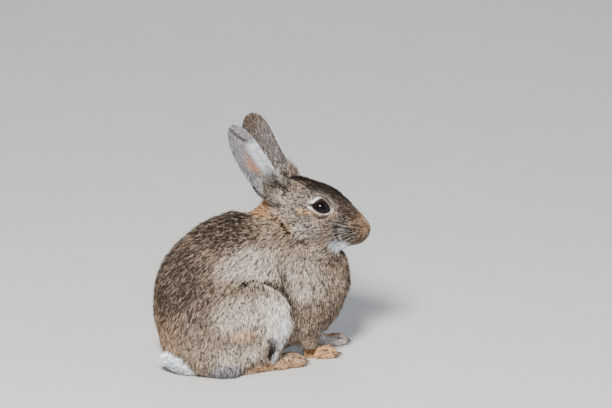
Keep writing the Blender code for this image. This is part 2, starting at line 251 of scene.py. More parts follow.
BODY_LIE = [
    # ahead, out, up, way, length, lift, width
    (12, 0, 146, (-1, 0, -0.05), 9, 24, 0.5),
    (-29, 0, 149, (-1, 0, -0.15), 11, 25, 0.54),
    (-64, 0, 132, (-1, 0, -0.7), 11, 25, 0.54),
    (-91, 0, 105, (-0.5, 0, -1), 11, 25, 0.54),
    (-102, 0, 66, (-0.1, 0, -1), 10, 25, 0.54),
    (-98, 10, 42, (0.0, 0, -1), 6, 22, 0.5),
    (-96, 17, 24, (0.0, 0, -1), 9, 24, 0.54),
    (-50, 40, 115, (-0.8, 0, -0.7), 11, 24, 0.54),
    (0, 38, 115, (-0.6, 0, -0.7), 10, 24, 0.5),
    (37, 32, 110, (-0.45, 0, -0.9), 10, 24, 0.5),
    (2, 45, 92, (-0.3, 0, -1), 10, 24, 0.5),
    (22, 44, 60, (-0.2, 0, -1), 11, 25, 0.5),
    (-41, 52, 92, (-0.6, 0, -0.85), 10, 24, 0.5),
    (-35, 57, 55, (-0.35, 0, -0.95), 9, 24, 0.5),
    (4, 52, 60, (-0.3, 0, -0.95), 9, 24, 0.5),
    (4, 50, 25, (-0.2, 0, -1), 8, 26, 0.5),
    (-35, 52, 12, (-0.2, 0, -1), 9, 26, 0.5),
    (-85, 38, 62, (-0.35, 0, -0.95), 11, 25, 0.54),
    (-74, 42, 18, (-0.25, 0, -1), 10, 26, 0.54),
    (86, 0, 80, (-0.1, 0, -1), 11, 27, 0.6),
    (68, 0, 42, (-0.4, 0, -0.9), 10, 25, 0.54),
    (66, 29, 80, (-0.2, 0, -1), 11, 26, 0.54),
    (78, -6, 107, (-0.3, 0, -1), 10, 26, 0.5),
    (22, 0, 10, (-1, 0, 0), 9, 18, 0.6),
    (-31, 0, 6, (-1, 0, 0), 9, 18, 0.6),
    (44, 28, 48, (-0.1, 0, -1), 8, 22, 0.5),
    (48, 20, 24, (0.15, 0, -1), 5.5, 18, 0.45),
]
HEAD_LIE = [
    # ahead, out, up, way in the head's axes, length, lift, width
    (53, 0, -6, (-0.4, 0, 1), 1.4, 16, 0.25),
    (48, 9, -9, (-1, 0.2, -0.1), 2.0, 16, 0.28),
    (46, 0, -17, (-0.8, 0, -0.6), 2.2, 18, 0.28),
    (33, 0, 9, (-1, 0, 0.1), 3.2, 16, 0.33),
    (10, 0, 18, (-1, 0, 0.05), 5.2, 24, 0.38),
    (-15, 0, 16, (-1, 0, -0.1), 7.5, 27, 0.45),
    (40, 13, -10, (-1, 0.2, -0.35), 3.2, 18, 0.32),
    (20, 20, -18, (-1, 0, -0.4), 5.0, 20, 0.4),
    (-5, 24, -22, (-0.8, 0, -0.65), 7.0, 22, 0.45),
    (-16, 24, -10, (-1, 0, -0.25), 5.0, 18, 0.4),
    (0, 19, 14, (-1, 0, 0.1), 3.8, 16, 0.36),
    (18, 17, 2, (-1, 0, 0.1), 3.0, 15, 0.33),
    (-16, 20, 4, (-1, 0, -0.1), 5.0, 18, 0.4),
    (36, 0, -28, (-1, 0, -0.5), 5.0, 26, 0.38),
    (15, 0, -42, (-0.7, 0, -0.7), 8.0, 26, 0.5),
    (-25, 14, 8, (-0.9, 0.1, 0.3), 5.5, 20, 0.42),
    (-30, 0, -2, (-0.9, 0, -0.5), 8.0, 24, 0.5),
]
for place, rows in ((on_body, BODY_LIE), (on_head, HEAD_LIE)):
    for *spot, way, length, lift, width in rows:
        for side in sides_of([spot]):
            run = AXES[place] @ Vector((way[0], way[1] * side, way[2]))
            lay(*mirrored(place, [spot], side), run, length, lift, width)

for where in SIDES:
    for node, length in (("fore_foot", 3.6), ("hind_foot", 4.6)):
        low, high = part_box(f"{node}_{where}")
        for share in (0.15, 0.5, 0.95):
            x = low.x + share * (high.x - low.x)
            lay((x, (low.y + high.y) / 2, high.z * 0.7), (1, 0, -0.3), length * (1.15 - 0.6 * share), 15, 0.36)
tail_low, tail_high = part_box("tail")
tail_middle = (tail_low + tail_high) / 2
TAIL_WAY = Vector((-0.76, -0.60, 0.24))
lay(tail_middle, TAIL_WAY, 7, 13, 0.42)
lay(tail_middle + TAIL_WAY * 0.012, TAIL_WAY, 4.5, 15, 0.4)
comb = np.array(comb)


def lie_at(points, normals):
    """How hair grows at points of the skin: its way along the skin, length, lift and width."""
    blend = np.zeros((len(points), 6))
    total = np.zeros((len(points), 1))
    for row in comb:
        off = ((points - row[:3]) ** 2).sum(1, keepdims=True) / COMB_REACH**2
        weight = 1 / (off + 0.5) ** 2.2
        blend += weight * row[3:]
        total += weight
    blend /= total
    return along_skin(blend[:, :3], normals), blend[:, 3], blend[:, 4], blend[:, 5]


def unit(vectors):
    return vectors / (np.linalg.norm(vectors, axis=-1, keepdims=True) + 1e-12)


def along_skin(way, normals):
    return unit(way - normals * (way * normals).sum(1, keepdims=True))


# ---------------------------------------------------------------- markings
# Agouti fur over most of the animal: brown and dark along the back, greyer and paler below, with a rusty nape,
# muzzle and feet, a black crown, pale haunches and eye rings, and white under the belly, chin and tail. Each
# mark is a soft ball or a soft stroke along a path, with its size and its strength. Some dark marks are painted
# shade, not fur: on the chest, in the shoulder crease, along the haunch fold and its front edge, in the gap before
# the knee, in the cheek fold and between the toes.

WHITE, RUST, DARK, PALE, GREY = range(5)
balls, strokes = [], []


def ball(kind, place, radii, strength, axes):
    balls.append((kind, np.array(place), np.array(radii) * MM, strength, np.array(axes)))


def stroke(kind, path, width, strength):
    strokes.append((kind, path, width * MM, strength))


def path_distance(points, path):
    """How far points are from a path, once the path is laid on the surface of the hide."""
    path = np.array(path)
    steps = np.linspace(0, len(path) - 1, 6 * len(path) - 5)
    path = np.stack([np.interp(steps, range(len(path)), path[:, axis]) for axis in range(3)], 1)
    path = np.array([surface.find_nearest(Vector(p))[0] for p in path])
    nearest = np.full(len(points), 1e9)
    for start, end in zip(path, path[1:]):
        share = np.clip(((points - start) @ (end - start)) / ((end - start) ** 2).sum(), 0, 1)
        nearest = np.minimum(nearest, np.linalg.norm(points - start - share[:, None] * (end - start), axis=1))
    return nearest


# The fold where the flank hangs over the haunch and then runs down its front edge, out to the side.
HAUNCH_FOLD = [(-38, 47, 97), (-26, 47, 98), (-13, 47, 95), (-2, 46, 90), (8, 45, 82), (14, 45, 71), (17, 44, 56)]
# Painted shade along it, a little higher, since the hair over it hangs down.
FOLD_SHADE = [(-34, 47, 98), (-24, 47, 98), (-13, 47, 98), (-3, 46, 96), (7, 46, 92), (13, 45, 84), (17, 45, 72)]
# The cleft between the cheek and the whisker pad, down to the corner of the mouth, on the head.
CHEEK_FOLD = [(20, 18.7, -8), (24, 18, -17), (29, 14.5, -25), (32, 9, -30)]

MOUTH = [(55, 0, -15), (51, 5, -18.5), (44, 9, -21.5), (37, 12, -23.5), (32, 12, -26)]

# Each row has the marking, its spots, its size, its strength, and how much of that shows on the hidden side if
# it is softer there. One spot is the middle of a ball with three radii, and more are the path of a stroke.
BODY_MARKS = [
    (DARK, [(-84, 0, 92)], (40, 62, 60), 0.56),
    (DARK, [(-42, 0, 150)], (48, 52, 36), 0.56),
    (RUST, [(-99, 0, 46)], (16, 48, 30), 0.3),
    (RUST, [(4, 0, 152)], (10, 19, 10), 1.0),
    (WHITE, [(10, 0, 8)], (76, 24, 18), 0.9),
    (PALE, [(-2, 50, 66)], (23, 17, 31), 0.9),
    (WHITE, [(5, 52, 50)], (12, 13, 24), 0.4),
    (PALE, [(-38, 54, 68)], (28, 14, 20), 0.6),
    (PALE, [(-40, 55, 28)], (30, 12, 16), 0.45),
    (RUST, [(-33, 56, 50)], (17, 10, 6), 0.38, 0.6),
    (PALE, [(-16, 40, 114)], (34, 16, 22), 0.72),
    (PALE, [(-44, 42, 110)], (16, 12, 11), 0.5),
    (PALE, [(32, 37, 98)], (26, 16, 28), 0.45),
    # painted shade on the side of the chest
    (DARK, [(52, 36, 50)], (22, 16, 26), 0.25),
    # painted shade in the shoulder crease
    (DARK, [(11, 42, 97)], (6, 9, 10), 0.6, 0.6),
    # painted shadow in the gap between the haunch's front and the knee
    (DARK, [(-5, 52, 30)], (6, 9, 15), 0.9, 0.6),
    # painted shade along the haunch fold
    (DARK, FOLD_SHADE, 2.0, 0.85, 0.6),
    # painted shadow on the trunk ahead of the haunch's front edge
    (DARK, [(13, 41, 84), (21, 41, 64), (23, 41, 46)], 5, 0.5, 0.6),
    (WHITE, [(5, 48, 34), (-2, 50, 12)], 4.5, 0.75),
    (GREY, [(-50, 50, 8)], (24, 16, 14), 0.95, 0.6),
    (RUST, [(5, 12, 151), (14, 25, 144), (23, 29, 135)], 3.2, 0.7),
    (DARK, [(9, 19, 149), (15, 25, 143), (23, 29, 134)], 2.4, 0.9),
    (DARK, [(31, 28, 128), (42, 24, 121)], 2.4, 0.7),
    # painted shade on the front of the chest, under the chin
    (DARK, [(84, 0, 76)], (22, 34, 40), 0.3),
]
HEAD_MARKS = [
    (DARK, [(3, 8, 17)], (36, 15, 11), 0.95),
    (DARK, [(27, 10, 6)], (20, 10, 12), 0.84),
    (RUST, [(44, 9, -3)], (14, 9, 12), 0.5),
    (DARK, [(46, 11, -5)], (14, 9, 13), 0.7),
    (DARK, [(42, 13, -13)], (13, 9, 8), 0.78),
    (PALE, [(30, 16, -15)], (5, 8, 9), 0.8),
    (RUST, [(7, 24, -11)], (10, 7, 4.5), 0.35),
    (PALE, [(-2, 23, -25)], (16, 10, 13), 0.4),
    (GREY, [(2, 20, -5)], (36, 14, 26), 0.28),
    (PALE, [(-25, 20, -9)], (9, 9, 12), 0.3),
    (DARK, [(-37, 18, 5), (-33, 20, -3)], 1.8, 1.0),
    (DARK, [(2, 14, 2)], (58, 22, 24), 0.2),
    (PALE, [(-38, 20, -8)], (12, 12, 14), 0.6),
    (DARK, [(57, 1, -8), (55.5, 3.5, -5), (53, 6, -4.5)], 1.2, 1.0),
    (DARK, MOUTH, 1.0, 1.0),
    # painted shade in the cleft between cheek and whisker pad
    (DARK, [(x + 3, y - 0.6, z) for x, y, z in CHEEK_FOLD], 2.7, 1.0),
    (DARK, [(26, 16.5, -9), (27, 14.5, -2), (27, 12.5, 4)], 2.0, 0.85),
    (DARK, [(-14, 19.5, 5), (-10.5, 18, 8), (-5, 16.5, 10)], 1.2, 0.9),
    (DARK, [(0, 16.5, 9.5)], (4, 4, 3), 0.8),
    (WHITE, [(33, 0, -28)], (17, 15, 9), 1.0),
    (PALE, [(16, 0, -40)], (18, 16, 9), 0.7),
    (DARK, [(-42, 0, 8), (-25, 0, 14)], 6, 1),
    (DARK, [(-25, 0, 14), (-8, 0, 18), (8, 0, 18), (22, 0, 14)], 11, 1),
]
for place, rows in ((on_body, BODY_MARKS), (on_head, HEAD_MARKS)):
    for kind, spots, size, strength, *hidden in rows:
        for side in sides_of(spots):
            path = mirrored(place, spots, side)
            shown = strength * (hidden[0] if hidden and side > 0 else 1)
            if len(path) > 1:
                stroke(kind, path, size, shown)
            else:
                ball(kind, path[0], size, shown, AXES[place])
for side in SIDES.values():  # rows of dark whisker roots on the upper lip
    for row in range(4):
        for step in range(5):
            root = on_head(45 - 3.6 * step, side * (13 + 1.1 * step), -2.6 - 3.0 * row - 0.8 * step)
            stroke(DARK, [root, root + HEAD_TURN @ Vector((-1.4, 0, -0.3)) * MM], 1.6, 1.0)


def rising(values, start, end):
    """0 at start, 1 at end, smooth between, for arrays."""
    t = np.clip((values - start) / (end - start), 0, 1)
    return t * t * (3 - 2 * t)


def paint(found, kind, strength):
    """Adds a marking wherever it is stronger than what is there."""
    found[:, kind] = np.maximum(found[:, kind], strength)


def marks_at(points, normals):
    """The five markings at points of the skin, each from 0 to 1."""
    found = np.zeros((len(points), 5))
    for kind, place, radii, strength, axes in balls:
        off = np.linalg.norm((points - place) @ axes / radii, axis=1)
        paint(found, kind, strength * (1 - rising(off, 0.5, 1.25)))
    for kind, path, width, strength in strokes:
        paint(found, kind, strength * (1 - rising(path_distance(points, path) / width, 0.35, 1.1)))
    for node, rust in (("fore_foot", 0.95), ("hind_foot", 0.5)):
        for where in SIDES:
            low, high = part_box(f"{node}_{where}")
            off = (points - np.array((low + high) / 2)) / np.array((high - low) / 2)
            foot = 1 - rising(np.abs(off).max(1), 0.95, 1.3)
            foot *= 1 - 0.8 * found[:, GREY]
            found[:, WHITE] *= 1 - foot
            inner = rising(-normals[:, 1] * SIDES[where], 0.3, 0.9) * foot
            paint(found, RUST, rust * foot * (1 - 0.25 * inner))
            paint(found, WHITE, 0.6 * inner)
            found[:, DARK] *= 1 - 0.35 * foot
    return found


def on_tail(points):
    """How far each point belongs to the tail, from 0 to 1."""
    off = (points - np.array(tail_middle)) / np.array((tail_high - tail_low) / 2)
    return 1 - rising(np.linalg.norm(off, axis=1), 1.15, 1.45)


# ---------------------------------------------------------------- skin of the body and head
# One hide over head, neck, trunk, tail, legs and feet. The flesh solids and the eyeballs are grown together and
# fused, smoothed, and drawn in by the depth of the coat, so that the tips of its tufts reach the solids' faces.
# Over the head the net is finer, with the nostrils, the cleft lip, the mouth and the folds pressed in.

FLESH = ["head", "neck", "trunk", "tail"]
FLESH += [f"{part}_{where}" for part in ("fore_leg", "fore_foot", "hind_leg", "hind_foot") for where in SIDES]
BODY_VOXEL = 1.85 * MM


def opened(*meshes):
    """A bmesh that holds the meshes."""
    bm = bmesh.new()
    for mesh in meshes:
        bm.from_mesh(mesh)
    return bm


def merged(nodes, swell):
    """The nodes' meshes in one bmesh, their triangles joined up, each grown along its normals."""
    together = bmesh.new()
    for node in nodes:
        bm = opened(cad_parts[node].data)
        bmesh.ops.remove_doubles(bm, verts=bm.verts, dist=1e-6)
        bm.normal_update()
        for v in bm.verts:
            v.co += v.normal * swell
        together.from_mesh(closed(bm, bpy.data.meshes.new("swollen")))
    return together


def applied(obj):
    """The object with its modifiers put into its mesh."""
    graph = bpy.context.evaluated_depsgraph_get()
    mesh = bpy.data.meshes.new_from_object(obj.evaluated_get(graph))
    obj.modifiers.clear()
    obj.data = mesh
    return obj


def fused(obj, voxel, rounds):
    """The object's meshes fused into an even net of small squares, and smoothed."""
    remesh = obj.modifiers.new("fuse", "REMESH")
    remesh.mode = "VOXEL"
    remesh.voxel_size = voxel
    smooth = obj.modifiers.new("smooth", "SMOOTH")
    smooth.factor = 0.5
    smooth.iterations = rounds
    return applied(obj)


def arrays(mesh):
    """The places and normals of a mesh's points."""
    count = len(mesh.vertices)
    points, normals = np.empty(count * 3), np.empty(count * 3)
    mesh.vertices.foreach_get("co", points)
    mesh.vertex_normals.foreach_get("vector", normals)
    return points.reshape(-1, 3), normals.reshape(-1, 3)


def move(mesh, points):
    mesh.vertices.foreach_set("co", points.ravel())
    mesh.update()


def groove(points, path, width, depth):
    """How deep a soft groove cuts at each point: a path, its width and its depth in mm."""
    off = path_distance(points, path) / (width * MM)
    return depth * MM * np.exp(-off**2)


HIDE_DEPTH = 0.85  # how far in the hide lies, as a share of how high its hair stands
skin = from_bmesh("skin", merged(FLESH + ["eye_left", "eye_right"], swell=0.25 * MM))
fused(skin, BODY_VOXEL, rounds=10)
bm = opened(skin.data)
# How far the face reaches from the eyes: down and back along the head's own axes, and straight down.
FACE_DOWN, FACE_BACK, FACE_LOW = 46 * MM, 26 * MM, 52 * MM
MUZZLE_REACH = 17 * MM
down, ahead = HEAD_TURN @ Vector((0, 0, -1)), HEAD_TURN @ Vector((1, 0, 0))
face = [f for f in bm.faces for off in [f.calc_center_median() - eye_middle]
        if off.dot(down) < FACE_DOWN and off.dot(ahead) > -FACE_BACK and off.z > -FACE_LOW]
bmesh.ops.subdivide_edges(bm, edges=list({e for f in face for e in f.edges}), cuts=1, use_grid_fill=True)
nose = on_head(50, 0, -10)
muzzle = [f for f in bm.faces if (f.calc_center_median() - nose).length < MUZZLE_REACH]
bmesh.ops.subdivide_edges(bm, edges=list({e for f in muzzle for e in f.edges}), cuts=1, use_grid_fill=True)
fine = [v for v in bm.verts if any(f.calc_area() < 0.5 * BODY_VOXEL**2 for f in v.link_faces)]
for _ in range(2):
    bmesh.ops.smooth_vert(bm, verts=fine, factor=0.5, use_axis_x=True, use_axis_y=True, use_axis_z=True)
closed(bm, skin.data)

surface = BVHTree.FromObject(skin, bpy.context.evaluated_depsgraph_get())
points, normals = arrays(skin.data)
way, length, lift, width = lie_at(points, normals)
depth = length * np.sin(lift) * HIDE_DEPTH
loose = rising(length, 6 * MM, 9 * MM) * 0.9 * MM  # where the coat is long, it lies a little uneven
depth += loose * np.array([noise.noise(Vector(p) * 75) for p in points])
NOSTRIL = [(57, 1, -8), (55.5, 3.2, -5), (53, 5.6, -4.5)]
GROOVES = [  # place, path, width and depth in mm
    (on_head, NOSTRIL, 0.9, 1.5), (on_head, MOUTH, 1.0, 1.3),
    (on_head, CHEEK_FOLD, 1.8, 2.0), (on_body, HAUNCH_FOLD, 3.0, 2.6),
]
for side in SIDES.values():
    for place, path, *size in GROOVES:
        depth += groove(points, mirrored(place, path, side), *size)
LIP_CLEFT = [(57, 0, -8), (56, 0, -12), (54, 0, -15)]
depth += groove(points, mirrored(on_head, LIP_CLEFT, 1), 0.8, 1.2)
toe_gaps = []
for foot in ("fore_left", "fore_right", "hind_left", "hind_right"):
    claws = sorted((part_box(f"claw_{foot}_{n}") for n in (1, 2, 3, 4)), key=lambda box: box[0].y)
    for (low_1, high_1), (low_2, high_2) in zip(claws, claws[1:]):
        between = (low_1 + high_1 + low_2 + high_2) / 4
        start = Vector((min(low_1.x, low_2.x) + 1 * MM, between.y, between.z + 2 * MM))
        toe_gaps.append([start, start + Vector((-12, 0, 4.5)) * MM])
        depth += groove(points, toe_gaps[-1], 1.5, 2.4)
move(skin.data, points - normals * depth[:, None])


# ---------------------------------------------------------------- ears
# Two long cupped shells of skin, with a rolled rim, which open to the side. Outside they are covered with flat
# grizzled hair, inside nearly bare and pinkish, with long pale hair along the front rim and at the root.

EAR_VOXEL = 0.75 * MM
EAR_FACING = {"right": math.radians(-72), "left": math.radians(70)}  # bearing of the opening


def points_of(node):
    return np.array([v.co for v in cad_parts[node].data.vertices])


class Ear:
    """Where points lie on one ear: share of its length, across it from rear rim to front rim, and which side."""

    def __init__(self, where):
        points = points_of(f"ear_{where}")
        self.root = points[points[:, 2] < np.percentile(points[:, 2], 12)].mean(0)
        tip = points[points[:, 2].argmax()]
        self.long = np.linalg.norm(tip - self.root)
        self.way = (tip - self.root) / self.long
        facing = np.array((math.cos(EAR_FACING[where]), math.sin(EAR_FACING[where]), 0))
        self.facing = unit(facing - self.way * (facing @ self.way))
        self.across = np.cross(self.way, self.facing)
        self.across *= math.copysign(1, self.across @ np.array(HEAD_TURN @ Vector((1, 0, 0))))
        shares, across = (points - self.root) @ self.way / self.long, (points - self.root) @ self.across
        self.knots = np.linspace(0.05, 0.95, 10)
        near = [across[np.abs(shares - k) < 0.09] for k in self.knots]
        self.middle = np.array([(a.max() + a.min()) / 2 for a in near])
        self.half = np.array([(a.max() - a.min()) / 2 for a in near])

    def place(self, points, normals):
        share = (points - self.root) @ self.way / self.long
        across = (points - self.root) @ self.across - np.interp(share, self.knots, self.middle)
        return share, across / np.interp(share, self.knots, self.half), rising(normals @ self.facing, -0.05, 0.4)


ears, ear_skins = {}, []
for where in SIDES:
    ears[where] = Ear(where)
    bm = merged([f"ear_{where}"], swell=0)
    bmesh.ops.join_triangles(bm, faces=bm.faces, angle_face_threshold=0.7, angle_shape_threshold=0.7)
    ear = from_bmesh(f"skin_of_ear_{where}", bm)
    round_off = ear.modifiers.new("round_off", "SUBSURF")
    round_off.levels = round_off.render_levels = 2
    applied(ear)
    fused(ear, EAR_VOXEL, rounds=4)
    points, normals = arrays(ear.data)
    share, across, _ = ears[where].place(points, normals)
    # The root sinks into the head, and does so further up along its front.
    inwards = unit(np.array(on_head(-14, 0, -4)) - ears[where].root)
    sunk = np.maximum(rising(share, 0.15, 0.03), rising(share, 0.25, 0.13) * rising(across, 0.1, 0.6))
    sunk = sunk[:, None] * (inwards * 5 - ears[where].way * 4) * MM
    move(ear.data, points - normals * 0.45 * MM + sunk)
    ear_skins.append(ear)


# ---------------------------------------------------------------- eyelids
# Each eye lies in two soft lids with a bare dark rim, the upper one half closed and heavy at the back. A ring of
# skin starts inside the rim, rolls over it and runs out over the eyeball until it meets the face.

OPENING = [  # its edge in mm, ahead and up from its middle, from the rear corner under the eye and back over it
    (-8.7, -0.01), (-7.4, -2.5), (-4.6, -4.3), (0, -5.0), (4.6, -4.2), (7.4, -2.4), (8.8, 0), (7.3, 2.7),
    (4.7, 4.9), (1.9, 6.7), (-1.0, 7.5), (-3.3, 6.2), (-5.2, 3.9), (-7.1, 1.8), (-8.7, 0.01),
]
OPENING_TILT = math.radians(6)
LID_STEPS = 64
LID_ROWS = [  # share of the way from the opening to the outer edge, then height over the eyeball in mm
    (-0.07, 0.02), (-0.02, 0.20), (0.02, 0.40), (0.06, 0.56), (0.10, 0.70), (0.14, 0.80), (0.18, 0.90), (0.23, 0.95),
    (0.28, 1.0), (0.34, 1.0), (0.41, 1.0), (0.50, 1.0), (0.60, 0.9), (0.72, 0.7), (0.85, 0.4), (1.0, -0.3),
]
# Angles from the way the eye looks: to the lids' outer edge, and to where the hide under them is cut away.
LID_REACH, HIDE_OPENING = math.radians(96), math.radians(64)


class Eye:
    """Axes and opening of one eye: the way it looks, to its front corner, and up across it."""

    def __init__(self, where, side):
        self.centre = np.array(eye_centres[where])
        outward = (HEAD_TURN @ Vector((-0.08, side, 0.34))).normalized()
        ahead = HEAD_TURN @ Vector((1, 0, 0))
        ahead = (ahead - outward * ahead.dot(outward)).normalized()
        up = outward.cross(ahead) * -side
        self.outward = np.array(outward)
        self.ahead = np.array(ahead * math.cos(OPENING_TILT) + up * math.sin(OPENING_TILT))
        self.up = np.array(up * math.cos(OPENING_TILT) - ahead * math.sin(OPENING_TILT))
        turns = np.linspace(-math.pi, math.pi, 181)
        ahead, up = self.opening(turns)
        self.bearings = np.unwrap(np.arctan2(up, ahead))
        self.spreads = np.arcsin(np.hypot(ahead, up) * MM / EYE_RADIUS)

    def opening(self, turn):
        """The edge of the opening in mm, ahead and up from its middle, at turns from the rear corner."""
        knots = np.linspace(-math.pi, math.pi, len(OPENING))
        near = np.asarray(turn)[..., None] + np.linspace(-0.17, 0.17, 7)
        near = (near + math.pi) % (2 * math.pi) - math.pi
        return [np.interp(near, knots, [p[axis] for p in OPENING]).mean(-1) for axis in (0, 1)]

    def rim(self, turn):
        """The edge at one turn: ahead and up in mm, the way to it and its angle, both from the middle."""
        ahead, up = self.opening(np.array(turn))
        spread = math.asin(math.hypot(ahead, up) * MM / EYE_RADIUS)
        return ahead, up, unit(self.ahead * ahead + self.up * up), spread

    def over(self, way, spread, height):
        """The place over the eyeball at a way and an angle from the middle."""
        return self.centre + (EYE_RADIUS + height) * (self.outward * math.cos(spread) + way * math.sin(spread))

    def place(self, points):
        """Distance from the centre, angle beyond the opening's edge, and bearing round it."""
        off = points - self.centre
        reach = np.linalg.norm(off, axis=1)
        bearing = np.arctan2(off @ self.up, off @ self.ahead)
        spread = np.arccos(np.clip(off @ self.outward / reach, -1, 1))
        return reach, spread - np.interp(bearing, self.bearings, self.spreads), bearing, spread


eyes, lids = {}, []
for where, side in SIDES.items():
    eye = eyes[where] = Eye(where, side)
    bm = bmesh.new()
    bmesh.ops.create_grid(bm, x_segments=LID_STEPS, y_segments=len(LID_ROWS) - 1, size=1)
    for v in bm.verts:
        share, thick = LID_ROWS[round((v.co.y + 1) / 2 * (len(LID_ROWS) - 1))]
        ahead, up, around, edge = eye.rim(v.co.x * math.pi)
        heavy = 1.2 * float(rising(up, 0.5, 4) * rising(-ahead, -2, 3)) if 0 < share < 0.6 else 0
        v.co = eye.over(around, edge + share * (LID_REACH - edge), (thick + heavy) * MM)
    bmesh.ops.remove_doubles(bm, verts=bm.verts, dist=1e-6)
    bm.normal_update()
    outer = max(bm.faces, key=lambda f: (f.calc_center_median() - Vector(eye.centre)).dot(Vector(eye.outward)))
    if outer.normal.dot(outer.calc_center_median() - Vector(eye.centre)) < 0:
        bmesh.ops.reverse_faces(bm, faces=bm.faces)
    lids.append(from_bmesh(f"lids_{where}", bm))

    bm = opened(skin.data)
    middles = np.array([f.calc_center_median() for f in bm.faces])
    reach, _, _, spread = eye.place(middles)
    hidden = (reach < EYE_RADIUS + 1.0 * MM) & (spread < HIDE_OPENING)
    bmesh.ops.delete(bm, geom=[f for f, h in zip(bm.faces, hidden) if h], context="FACES")
    closed(bm, skin.data)

# Hide, ears and lids become one mesh. Each point keeps the number of the piece it came from.
pieces = [skin, *ear_skins, *lids]
origin = np.repeat(range(len(pieces)), [len(p.data.vertices) for p in pieces])
bm = opened(*(piece.data for piece in pieces))
for piece in pieces[1:]:
    bpy.data.objects.remove(piece)
closed(bm, skin.data)
skin.data.shade_smooth()


# ---------------------------------------------------------------- coat over ears, lids and tail
# The comb and the markings of the places that the body's own do not reach: hair on the ears runs to their tips,
# on the lids it runs away from the eye, and the tail is white. On the ears the markings also hold painted shade
# and a painted glow of light shining through them.

def blended(start, end, share):
    return start * (1 - share) + end * share


skin_points, skin_normals = arrays(skin.data)
surface = BVHTree.FromObject(skin, bpy.context.evaluated_depsgraph_get())
way, length, lift, width = lie_at(skin_points, skin_normals)
# Painted shade in the gaps between the toes.
for gap in toe_gaps:
    stroke(DARK, gap, 1.9, 1.0)
marks = marks_at(skin_points, skin_normals)
bare = np.zeros(len(skin_points))
growth = np.ones(len(skin_points))  # how thickly hair grows, where 1 is a full coat

for number, where in enumerate(SIDES, 1):
    mine = origin == number
    ear = ears[where]
    share, across, inside = ear.place(skin_points[mine], skin_normals[mine])
    way[mine] = along_skin(np.broadcast_to(ear.way, (mine.sum(), 3)), skin_normals[mine])
    base = rising(share, 0.36, 0.16)
    front = rising(across, 0.10, 0.55) * inside * rising(share, 0.80, 0.66)
    fringe = rising(across, 0.45, 0.8) * inside * rising(share, 0.80, 0.66)
    length[mine] = (2.6 + base * 4.5 + fringe * 3.0 + inside) * MM
    lift[mine] = math.radians(9) + math.radians(12) * base + math.radians(8) * fringe
    width[mine] = (0.30 + 0.1 * base - 0.08 * inside * (1 - base)) * MM
    found = np.zeros((mine.sum(), 5))
    found[:, GREY] = 0.55 + 0.2 * inside
    found[:, PALE] = 0.15 * inside
    rear = rising(across, -0.80, -0.95) * inside
    found[:, WHITE] = np.maximum(0.85 * front, 0.5 * rear) * (1 - 0.6 * base)
    paint(found, WHITE, (0.08 + 0.4 * base) * inside)
    tip = rising(share, 0.70, 0.98)
    painted_ear_shadow = rising(across, 0.35, -0.25)  # painted shadow, as the near ear casts on the far one: the back of each ear darkens towards its rear
    found[:, DARK] = np.minimum(0.60 + 0.40 * painted_ear_shadow + 0.3 * tip - 0.5 * base, 1) * (1 - inside)
    found[:, RUST] = 0.3 * tip * (1 - inside)
    # Painted shade: a dark line inside the upper ear where the rolled front rim shades the cup.
    rim_shadow = rising(np.abs(across - np.interp(share, (0.70, 0.96), (0.62, -0.1))), 0.15, 0.06)
    rim_shadow *= inside * rising(share, 0.66, 0.72)
    paint(found, DARK, rim_shadow)
    found[:, GREY] *= (1 - rim_shadow) * (1 - 0.8 * tip * (1 - inside)) * (1 - 0.4 * base)
    found[:, GREY] *= 1 - 0.5 * painted_ear_shadow * (1 - inside)
    paint(found, PALE, 0.5 * base)
    # Painted light shining through the ear: a tawny glow down the middle of the cup, thinning to a pink crease at
    # the root.
    middle = np.interp(share, (0.10, 0.33, 0.50, 0.65), (0.50, 0.25, 0.0, 0.05))
    half = np.interp(share, (0.10, 0.28, 0.40, 0.50, 0.68), (0.09, 0.11, 0.30, 0.32, 0.12))
    painted_glow = rising(np.abs(across - middle), half * 1.6, 0) * inside
    painted_glow *= np.interp(share, (0.06, 0.14, 0.4, 0.52, 0.72), (0, 0.8, 1, 0.9, 0))
    paint(found, RUST, painted_glow)
    found[:, WHITE] *= 1 - 0.8 * painted_glow
    found[:, GREY] *= 1 - painted_glow
    growth[mine] = 1 - inside * np.maximum((1 - np.maximum(base, fringe)) * (0.62 + 0.3 * painted_glow), 0.9 * painted_glow)
    growth[mine] *= rising(skin_normals[mine] @ ear.way, -0.8, -0.5)
    merge = 0.85 * rising(share, 0.24, 0.10)[:, None]
    marks[mine] = blended(found, marks[mine], merge)
    bare[mine] = inside * np.maximum((1 - base) * (1 - fringe), painted_glow)

    # Round the root the hair of the head grows up over it.
    root = rising(np.linalg.norm(skin_points - ear.root, axis=1), 20 * MM, 9 * MM) * (origin == 0)
    upwards = along_skin(np.broadcast_to(ear.way, skin_points.shape), skin_normals)
    way = along_skin(blended(way, upwards, root[:, None]), skin_normals)
    length += root * 6 * MM
    lift += root * math.radians(13)

